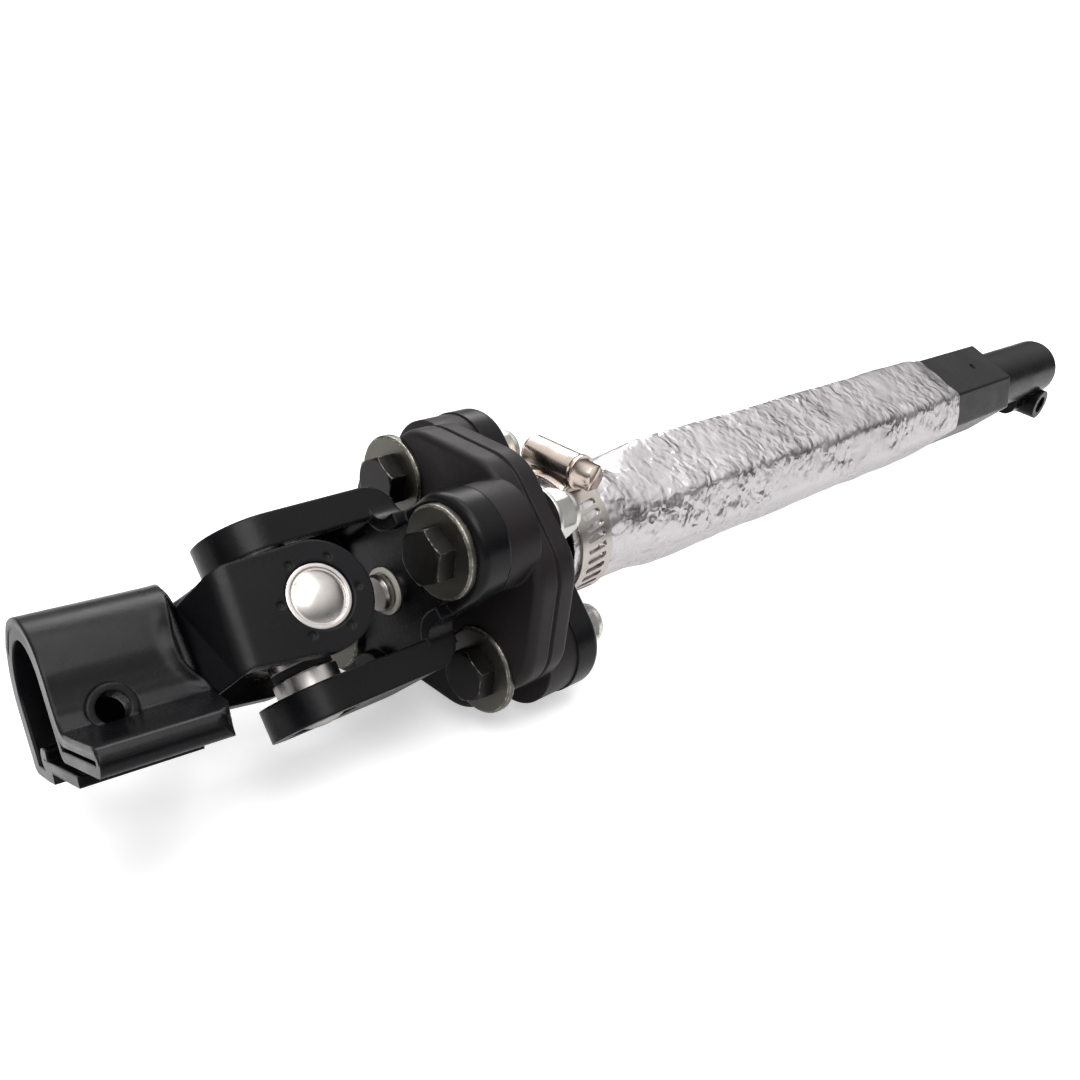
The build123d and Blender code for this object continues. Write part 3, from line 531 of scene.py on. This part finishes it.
def copyNode(nodeName, name, reshape, sharp=30):
    node = cadNodes[nodeName]
    shape = bmesh.new()
    shape.from_mesh(node.data)
    shape.transform(node.matrix_world)
    bmesh.ops.remove_doubles(shape, verts=shape.verts, dist=weldGap)
    for vertex in shape.verts:
        vertex.co = reshape(vertex.co)
    return keepMesh(name, shape, sharp)


def girth(spot):
    reach = math.hypot(spot.y, spot.z)
    grown = (reach + clampForm["wider"] * mm) / reach
    return Vector((spot.x + clampForm["back"] * mm, spot.y * grown, spot.z * grown))


def screwMove(spot):
    across = spot.y * clampForm["stretch"] + clampForm["shift"] * mm
    return Vector((spot.x + clampForm["back"] * mm, across, spot.z + clampForm["wider"] * mm))


def housingMove(spot):
    fromScrew = math.hypot(spot.x - discX - clampForm["screwX"] * mm, spot.z - clampForm["screwHeight"] * mm)
    return screwMove(spot) if fromScrew < clampForm["housing"] * mm else girth(spot)


hoseBand = copyNode("clamp_band", "hoseBand", girth)
addPiece(hoseBand, "bandSteel", "shaft", "band_steel", "clamp_band")
hoseHousing = copyNode("clamp_housing", "hoseHousing", housingMove)
addPiece(hoseHousing, "housingSteel", "shaft", "band_steel", "clamp_housing")
hoseScrew = copyNode("clamp_screw", "hoseScrew", screwMove)
addPiece(hoseScrew, "housingSteel", "shaft", "band_steel", "clamp_screw")


# Clamp yoke: a copy whose neck ends flush with the round clamp, so that it stays under the skin
yokeForm = {"neck": -27.6, "above": 0.5, "radius": 16.3, "spare": 0.02, "under": 0.05, "sharp": 9}


def flushNeck(spot):
    local = backFromLower @ spot
    reach = math.hypot(local.y, local.z)
    atNeck = local.x < yokeForm["neck"] * mm and local.z > yokeForm["above"] * mm
    if atNeck and reach > (yokeForm["radius"] + yokeForm["spare"]) * mm:
        grown = (yokeForm["radius"] - yokeForm["under"]) * mm / reach
        local = Vector((local.x, local.y * grown, local.z * grown))
    return lowerPlace @ local


yokeMesh = copyNode("lower_yoke", "clampYoke", flushNeck, yokeForm["sharp"])
addPiece(yokeMesh, "blackPaint", "clamp_yoke", "black_paint", "lower_yoke")


# Skin of the clamp yoke: the sheet's outer side, with the soft bend into the foot and the flared rear edge
skinForm = {
    "mouth": -57.75, "lift": 0.25, "wall": 2.3, "foot": 5.6, "across": 260, "along": 110,
    "flare": 1.1, "flareLength": 4.0, "flareLeast": 0.1,
    "flareGrows": (0.15, 0.4), "flareFades": (0.56, 0.7),  # shares of the way round the section
    "footGrows": (0.6, 0.68), "rearGrows": (0.6, 0.8),  # where the foot gets thick: round, and along
    "holeX": -46.9, "holeUp": -10.2, "hole": 5.15,
    "probe": 0.004,  # step for the section's direction
}
# Stations round the section, from the top over the near side down to the foot: across, up, and rear edge
skinPath = (
    (10.0, 12.9, -28.2), (4.0, 15.8, -28.0), (0.0, 16.3, -27.8), (-6.2, 15.1, -27.8), (-11.5, 11.55, -28.6),
    (-15.1, 6.2, -30.2), (-16.3, 0.5, -31.4), (-16.3, -4.5, -31.0), (-16.35, -7.5, -29.7),
    (-16.6, -10.2, -28.0), (-18.0, -12.7, -27.2), (-22.0, -14.41, -27.7), (-27.0, -16.04, -28.5),
    (-33.0, -17.99, -29.9), (-37.9, -19.58, -32.3), (-39.4, -20.89, -34.2), (-39.6, -22.9, -35.2),
)


# A smooth curve through the stations
def alongPath(share):
    place = share * (len(skinPath) - 1)
    first = min(int(place), len(skinPath) - 2)
    part = place - first
    around = [Vector(skinPath[min(max(first + step, 0), len(skinPath) - 1)]) for step in (-1, 0, 1, 2)]
    return 0.5 * (2 * around[1] + (around[2] - around[0]) * part
                  + (2 * around[0] - 5 * around[1] + 4 * around[2] - around[3]) * part**2
                  + (3 * around[1] - around[0] - 3 * around[2] + around[3]) * part**3)


def ease(value, span):
    part = min(1, max(0, (value - span[0]) / (span[1] - span[0])))
    return part * part * (3 - 2 * part)


shape = bmesh.new()
rows = []
thickness = []
for row in range(skinForm["across"] + 1):
    share = row / skinForm["across"]
    here = alongPath(share)
    ahead = alongPath(min(share + skinForm["probe"], 1)) - alongPath(max(share - skinForm["probe"], 0))
    outward = Vector((ahead.y, -ahead.x)).normalized()
    flareGrown = skinForm["flareLeast"] + (1 - skinForm["flareLeast"]) * ease(share, skinForm["flareGrows"])
    flare = skinForm["flare"] * flareGrown * (1 - ease(share, skinForm["flareFades"]))
    footPart = ease(share, skinForm["footGrows"])
    line = []
    for column in range(skinForm["along"] + 1):
        x = skinForm["mouth"] + (here.z - skinForm["mouth"]) * column / skinForm["along"]
        nearEdge = max(0, 1 - (here.z - x) / skinForm["flareLength"])
        lift = skinForm["lift"] + flare * nearEdge**2
        rearPart = ease(column / skinForm["along"], skinForm["rearGrows"])
        thick = skinForm["wall"] + (skinForm["foot"] - skinForm["wall"]) * footPart * rearPart
        thickness.append(thick / skinForm["foot"])
        spot = Vector((x, here.x + outward.x * lift, here.y + outward.y * lift))
        line.append(shape.verts.new(lowerPlace @ (spot * mm)))
    rows.append(line)
for row in range(skinForm["across"]):
    for column in range(skinForm["along"]):
        corners = (rows[row][column], rows[row + 1][column], rows[row + 1][column + 1], rows[row][column + 1])
        middle = sum((corner.co for corner in corners), Vector()) / len(corners)
        local = backFromLower @ middle / mm
        fromHole = math.hypot(local.x - skinForm["holeX"], local.z - skinForm["holeUp"])
        if local.y < 0 and fromHole < skinForm["hole"]:
            continue
        shape.faces.new(corners)
weights = shape.verts.layers.deform.verify()
for vertex, share in zip(list(shape.verts), thickness):
    vertex[weights][0] = share
bmesh.ops.delete(shape, geom=[vertex for vertex in shape.verts if not vertex.link_faces], context="VERTS")
skinMesh = bpy.data.meshes.new("clampSkin")
shape.to_mesh(skinMesh)
shape.free()
skinMesh.shade_smooth()
skinMesh.materials.append(materials["blackPaint"])
skin = bpy.data.objects.new("clampSkin", skinMesh)
bpy.context.scene.collection.objects.link(skin)
skin.vertex_groups.new(name="thickness")
wall = skin.modifiers.new("wall", "SOLIDIFY")
wall.thickness = skinForm["foot"] * mm
wall.offset = -1
wall.vertex_group = "thickness"
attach(skin, "clamp_yoke")
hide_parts("lower_yoke")
print("hose clamp, clamp yoke and its skin made")


# Creases of a crumpled sheet: folded waves, each turned another way and bent by noise,
# so that flat facets meet in lines
def creaseField(tree, vector, layers):
    total = None
    for layer in layers:
        bend = noiseNode(tree, vector, layer["bendScale"], 2.0)
        ways = {0: vector, 1: layer["way"]}
        along = addNode(tree, "ShaderNodeVectorMath", ways, operation="DOT_PRODUCT").outputs["Value"]
        place = mathNode(tree, "ADD", along, mathNode(tree, "MULTIPLY", bend, layer["bend"]))
        wave = mathNode(tree, "DIVIDE", mathNode(tree, "PINGPONG", place, layer["step"]), layer["step"])
        part = mathNode(tree, "MULTIPLY", wave, layer["share"])
        total = part if total is None else mathNode(tree, "ADD", total, part)
    return total


bigCreases = [
    {"way": (0.55, 0.6, 0.5), "step": 0.021, "bendScale": 22.0, "bend": 0.09, "share": 0.45},
    {"way": (0.5, -0.7, 0.5), "step": 0.016, "bendScale": 30.0, "bend": 0.08, "share": 0.3},
    {"way": (-0.3, 0.4, 0.8), "step": 0.011, "bendScale": 44.0, "bend": 0.06, "share": 0.25},
]
fineCreases = [
    {"way": (0.6, 0.5, -0.5), "step": 0.0062, "bendScale": 80.0, "bend": 0.034, "share": 0.4},
    {"way": (0.3, 0.7, 0.7), "step": 0.0046, "bendScale": 105.0, "bend": 0.028, "share": 0.3},
    {"way": (0.8, -0.5, 0.4), "step": 0.0034, "bendScale": 150.0, "bend": 0.02, "share": 0.3},
]

# Foil: bright sheet, crumpled in patches
foilLook = {
    "patchScale": 38.0, "patchDetail": 4.0, "crumpled": ((0.38, 0.15), (0.6, 1.0)),
    "bump": 0.85, "distance": 0.0009,
    "glossScale": 90.0, "glossDetail": 5.0, "rough": (0.2, 0.42),
    "dull": (0.42, 0.395, 0.405, 1), "bright": (0.72, 0.69, 0.7, 1),
}
materials["foil"] = bpy.data.materials.new("foil")
materials["foil"].use_nodes = True
tree = materials["foil"].node_tree
surface = tree.nodes["Principled BSDF"]
surface.inputs["Metallic"].default_value = 1.0
where = addNode(tree, "ShaderNodeTexCoord").outputs["Object"]
patch = noiseNode(tree, where, foilLook["patchScale"], foilLook["patchDetail"])
crumpled = rampNode(tree, patch, foilLook["crumpled"])
height = mathNode(tree, "MULTIPLY", creaseField(tree, where, fineCreases), crumpled)
relief = {"Strength": foilLook["bump"], "Distance": foilLook["distance"], "Height": height}
bump = addNode(tree, "ShaderNodeBump", relief)
gloss = noiseNode(tree, where, foilLook["glossScale"], foilLook["glossDetail"])
tree.links.new(mixColours(tree, gloss, foilLook["dull"], foilLook["bright"]), surface.inputs["Base Color"])
tree.links.new(rangeNode(tree, gloss, noiseSpan, foilLook["rough"]), surface.inputs["Roughness"])
tree.links.new(bump.outputs[0], surface.inputs["Normal"])


# Foil sleeve: one closed sheet whose outer wall follows the clamp's ring, then the six-sided tube,
# with folded creases
foilWrap = {
    "start": discX + 29.0 * mm,
    "end": discX + 270.0 * mm,
    "roundEnd": discX + 50.0 * mm,
    "swellEnd": discX + 84.0 * mm,
    "roundRadius": 17.8 * mm,
    "growth": 1.5 * mm,  # outside of the foil over the tube
    "wall": 1.1 * mm,  # the rolled thickness that shows at the ends
    "crease": 1.15 * mm,
    "sway": 1.3 * mm,
    "ragged": 3.0 * mm,
    "turn": math.radians(-12.5),  # as the tube
    "rounding": 20.0,
    "rows": 420,
    "around": 200,
    "seed": 3,
}
# The tree's inputs, and the values of foilWrap that they take
foilSizes = {
    "Start": "start", "End": "end", "Round End": "roundEnd", "Swell End": "swellEnd",
    "Round Radius": "roundRadius", "Growth": "growth", "Wall": "wall", "Crease": "crease",
    "Sway": "sway", "Ragged": "ragged", "Turn": "turn", "Rounding": "rounding",
}
foilCounts = {"Rows": "rows", "Around": "around", "Seed": "seed"}
tubeForm = {"faces": ((0.0, 18.7), (55.2, 16.42), (-55.2, 16.42)), "mean": 18.0}  # pairs: degrees, mm out
foilPath = {"out": 0.93, "over": 0.95, "home": 0.985}  # shares of the rows where each stretch ends
foilDetail = {
    "raggedScale": 2.2, "raggedDetail": 4.0, "raggedFrom": 0.9,
    "closeBefore": 0.012, "closeAfter": 0.002, "closeBy": 0.0008,
    "patchScale": 30.0, "patchDetail": 3.0, "patchSpan": (0.35, 0.65), "patchCrease": (0.35, 1.0),
    "creaseMean": 0.62, "swayScale": 16.0, "swayDetail": 1.0,
    "freeBefore": 0.003, "freeAfter": 0.006,  # round the end of the clamp's ring
    "weld": 0.000005,
}


def makeFoilTree(name):
    group = bpy.data.node_groups.new(name, "GeometryNodeTree")
    sockets = group.interface
    sockets.new_socket(name="Geometry", in_out="INPUT", socket_type="NodeSocketGeometry")
    for label in foilSizes:
        sockets.new_socket(name=label, in_out="INPUT", socket_type="NodeSocketFloat")
    for label in foilCounts:
        sockets.new_socket(name=label, in_out="INPUT", socket_type="NodeSocketInt")
    sockets.new_socket(name="Material", in_out="INPUT", socket_type="NodeSocketMaterial")
    sockets.new_socket(name="Geometry", in_out="OUTPUT", socket_type="NodeSocketGeometry")
    size = addNode(group, "NodeGroupInput").outputs
    end = addNode(group, "NodeGroupOutput")

    def calc(operation, first, second=None):
        return mathNode(group, operation, first, second)

    def between(value, low, high, new=(0.0, 1.0), kind="LINEAR"):
        return rangeNode(group, value, (low, high), new, kind)

    def halfTurn(wave, value):
        return calc(wave, calc("MULTIPLY", value, math.pi))

    def onSection(along, radius, angle):
        across = calc("MULTIPLY", radius, calc("COSINE", angle))
        up = calc("MULTIPLY", radius, calc("SINE", angle))
        return addNode(group, "ShaderNodeCombineXYZ", {"X": along, "Y": across, "Z": up}).outputs[0]

    counts = {"Size X": 1.0, "Size Y": 1.0, "Vertices X": size["Rows"], "Vertices Y": size["Around"]}
    grid = addNode(group, "GeometryNodeMeshGrid", counts)
    position = addNode(group, "GeometryNodeInputPosition").outputs[0]
    flat = addNode(group, "ShaderNodeSeparateXYZ", {0: position})
    path = calc("ADD", flat.outputs["X"], 0.5)
    angle = calc("MULTIPLY", calc("ADD", flat.outputs["Y"], 0.5), 2 * math.pi)

    # The sheet runs out along the outer wall, over a rolled lip, and back along the inner wall
    outward = between(path, 0.0, foilPath["out"])
    turnIn = between(path, foilPath["out"], foilPath["over"])
    homeward = between(path, foilPath["over"], foilPath["home"])
    turnOut = between(path, foilPath["home"], 1.0)
    inside = calc("MULTIPLY", calc("SUBTRACT", 1.0, halfTurn("COSINE", turnIn)), 0.5)
    outside = calc("MULTIPLY", calc("SUBTRACT", 1.0, halfTurn("COSINE", turnOut)), 0.5)
    innerPart = calc("SUBTRACT", inside, outside)
    depth = calc("MULTIPLY", innerPart, size["Wall"])
    length = calc("SUBTRACT", size["End"], size["Start"])
    lipEnd = calc("MULTIPLY", halfTurn("SINE", turnIn), calc("MULTIPLY", size["Wall"], 0.5))
    lipStart = calc("MULTIPLY", halfTurn("SINE", turnOut), calc("MULTIPLY", size["Wall"], -0.5))
    share = calc("SUBTRACT", outward, homeward)

    # Ragged ends: the sheet's length changes round the tube
    ringInputs = {"X": calc("COSINE", angle), "Y": calc("SINE", angle), "Z": size["Seed"]}
    ring = addNode(group, "ShaderNodeCombineXYZ", ringInputs).outputs[0]
    rag = noiseNode(group, ring, foilDetail["raggedScale"], foilDetail["raggedDetail"])
    ragSize = calc("MULTIPLY", calc("SUBTRACT", rag, 0.5), calc("MULTIPLY", size["Ragged"], 2.0))
    atEnd = between(share, foilDetail["raggedFrom"], 1.0, kind="SMOOTHSTEP")
    ends = calc("ADD", calc("MULTIPLY", ragSize, atEnd), calc("ADD", lipEnd, lipStart))
    along = calc("ADD", calc("ADD", size["Start"], calc("MULTIPLY", share, length)), ends)

    # Section: a circle at the clamp, then the six faces of the tube
    mean = tubeForm["mean"] * mm
    total = None
    for degrees, reach in tubeForm["faces"]:
        faceAngle = calc("SUBTRACT", angle, calc("ADD", size["Turn"], math.radians(degrees)))
        facing = calc("MULTIPLY", calc("ABSOLUTE", calc("COSINE", faceAngle)), mean)
        nearness = calc("DIVIDE", facing, calc("ADD", size["Growth"], reach * mm))
        term = calc("POWER", nearness, size["Rounding"])
        total = term if total is None else calc("ADD", total, term)
    sixSided = calc("MULTIPLY", calc("POWER", total, calc("DIVIDE", -1.0, size["Rounding"])), mean)
    swell = between(along, size["Round End"], size["Swell End"], kind="SMOOTHSTEP")
    roundPart = calc("MULTIPLY", size["Round Radius"], calc("SUBTRACT", 1.0, swell))
    radius = calc("ADD", calc("MULTIPLY", sixSided, swell), roundPart)
    closeStart = calc("SUBTRACT", size["End"], foilDetail["closeBefore"])
    closeStop = calc("ADD", size["End"], foilDetail["closeAfter"])
    closing = between(along, closeStart, closeStop, kind="SMOOTHSTEP")
    radius = calc("SUBTRACT", radius, calc("MULTIPLY", closing, foilDetail["closeBy"]))

    # Creases, held back under the band and on the inner wall
    base = onSection(along, radius, angle)
    patch = noiseNode(group, base, foilDetail["patchScale"], foilDetail["patchDetail"])
    much = between(patch, *foilDetail["patchSpan"], foilDetail["patchCrease"])
    creases = calc("SUBTRACT", creaseField(group, base, bigCreases), foilDetail["creaseMean"])
    creases = calc("MULTIPLY", calc("MULTIPLY", creases, much), size["Crease"])
    sway = noiseNode(group, base, foilDetail["swayScale"], foilDetail["swayDetail"])
    lift = calc("ADD", creases, calc("MULTIPLY", calc("SUBTRACT", sway, 0.5), size["Sway"]))
    freeStart = calc("SUBTRACT", size["Round End"], foilDetail["freeBefore"])
    freeStop = calc("ADD", size["Round End"], foilDetail["freeAfter"])
    free = between(along, freeStart, freeStop, kind="SMOOTHSTEP")
    lift = calc("MULTIPLY", calc("MULTIPLY", lift, free), calc("SUBTRACT", 1.0, innerPart))
    radius = calc("ADD", calc("SUBTRACT", radius, depth), lift)

    spots = {"Geometry": grid.outputs["Mesh"], "Position": onSection(along, radius, angle)}
    formed = addNode(group, "GeometryNodeSetPosition", spots)
    weld = {"Geometry": formed.outputs[0], "Distance": foilDetail["weld"]}
    joined = addNode(group, "GeometryNodeMergeByDistance", weld)
    shading = {"Geometry": joined.outputs[0], "Shade Smooth": True}
    smooth = addNode(group, "GeometryNodeSetShadeSmooth", shading)
    single = addNode(group, "GeometryNodeRealizeInstances", {"Geometry": smooth.outputs[0]})
    dress = {"Geometry": single.outputs[0], "Material": size["Material"]}
    dressed = addNode(group, "GeometryNodeSetMaterial", dress)
    group.links.new(dressed.outputs[0], end.inputs["Geometry"])
    return group


foilValues = {label: foilWrap[key] for label, key in (foilSizes | foilCounts).items()}
foilValues["Material"] = materials["foil"]
foilMesh = growMesh("foilWrap", makeFoilTree("foilShape"), foilValues)
shape = bmesh.new()
shape.from_mesh(foilMesh)
bmesh.ops.recalc_face_normals(shape, faces=shape.faces)
if shape.calc_volume(signed=True) < 0:
    bmesh.ops.reverse_faces(shape, faces=shape.faces)
shape.to_mesh(foilMesh)
shape.free()
addPiece(foilMesh, "foil", "shaft", "foil", "foil_sleeve")
print("foil sleeve made:", len(foilMesh.polygons), "faces")


# Floor: pale, and lit up to white for the camera, more so far from the part
floorPlan = {
    "level": -0.0373, "size": 40.0, "colour": (0.8, 0.8, 0.8, 1), "rough": 0.9,
    "middle": (-0.3, 0.0), "reach": (0.35, 1.1), "glow": (0.5, 1.0), "inMetal": 0.35,
}
floorLook = bpy.data.materials.new("paleFloor")
floorLook.use_nodes = True
tree = floorLook.node_tree
surface = tree.nodes["Principled BSDF"]
surface.inputs["Base Color"].default_value = floorPlan["colour"]
surface.inputs["Roughness"].default_value = floorPlan["rough"]
surface.inputs["Specular IOR Level"].default_value = 0.0
path = addNode(tree, "ShaderNodeLightPath")
seenInMetal = mathNode(tree, "MULTIPLY", path.outputs["Is Glossy Ray"], floorPlan["inMetal"])
seen = mathNode(tree, "ADD", path.outputs["Is Camera Ray"], seenInMetal, clamp=True)
where = addNode(tree, "ShaderNodeTexCoord").outputs["Object"]
ends = {0: where, 1: (*floorPlan["middle"], floorPlan["level"])}
fromMiddle = addNode(tree, "ShaderNodeVectorMath", ends, operation="DISTANCE").outputs["Value"]
lift = rangeNode(tree, fromMiddle, floorPlan["reach"], floorPlan["glow"])
strength = mathNode(tree, "MULTIPLY", seen, lift)
glow = addNode(tree, "ShaderNodeEmission", {"Color": (1, 1, 1, 1), "Strength": strength})
both = addNode(tree, "ShaderNodeAddShader", {0: surface.outputs[0], 1: glow.outputs[0]})
tree.links.new(both.outputs[0], tree.nodes["Material Output"].inputs["Surface"])
floorMesh = bpy.data.meshes.new("floor")
floorHalf, floorLevel = floorPlan["size"] / 2, floorPlan["level"]
floorCorners = [(x * floorHalf, y * floorHalf, floorLevel) for x, y in ((-1, -1), (1, -1), (1, 1), (-1, 1))]
floorMesh.from_pydata(floorCorners, [], [(0, 1, 2, 3)])
floorMesh.materials.append(floorLook)
floor = bpy.data.objects.new("floor", floorMesh)
bpy.context.scene.collection.objects.link(floor)

# World: white to the camera, and to the metal a room that is bright above and darker at the level of the part
room = {"diffuse": 0.4, "camera": 1.05, "upSpan": (0.1, 0.75), "shine": (0.12, 1.2)}
world = bpy.data.worlds.new("studio")
world.use_nodes = True
bpy.context.scene.world = world
tree = world.node_tree
background = tree.nodes["Background"]
path = addNode(tree, "ShaderNodeLightPath")
direction = addNode(tree, "ShaderNodeTexCoord").outputs["Generated"]
up = addNode(tree, "ShaderNodeSeparateXYZ", {0: direction}).outputs["Z"]
shine = rangeNode(tree, up, room["upSpan"], room["shine"], "SMOOTHSTEP")
glossy = path.outputs["Is Glossy Ray"]
seen = mathNode(tree, "ADD", path.outputs["Is Camera Ray"], path.outputs["Is Transmission Ray"], clamp=True)
plain = mathNode(tree, "SUBTRACT", 1.0, mathNode(tree, "ADD", seen, glossy, clamp=True))
plainLevel = mathNode(tree, "MULTIPLY", plain, room["diffuse"])
seenLevel = mathNode(tree, "MULTIPLY", seen, room["camera"])
shineLevel = mathNode(tree, "MULTIPLY", glossy, shine)
total = mathNode(tree, "ADD", mathNode(tree, "ADD", plainLevel, seenLevel), shineLevel)
background.inputs["Color"].default_value = (1, 1, 1, 1)
tree.links.new(total, background.inputs["Strength"])

# Lamps: soft and plain, all turned to the middle of the part
lampTarget = (-0.33, 0, 0)
lampPlan = {
    "keyLamp": {"place": (-0.9, -0.5, 1.1), "size": (0.9, 0.7), "power": 10},
    "backLamp": {"place": (0.1, 0.9, 0.8), "size": (1.2, 0.5), "power": 9},
    "topLamp": {"place": (-0.3, 0.0, 1.3), "size": (1.4, 0.5), "power": 8},
}
for name, plan in lampPlan.items():
    lampData = bpy.data.lights.new(name, "AREA")
    lampData.shape = "RECTANGLE"
    lampData.size, lampData.size_y = plan["size"]
    lampData.energy = plan["power"]
    lamp = bpy.data.objects.new(name, lampData)
    lamp.location = plan["place"]
    toTarget = Vector(lampTarget) - Vector(plan["place"])
    lamp.rotation_euler = toTarget.to_track_quat("-Z", "Y").to_euler()
    bpy.context.scene.collection.objects.link(lamp)
print("stage and lamps made")
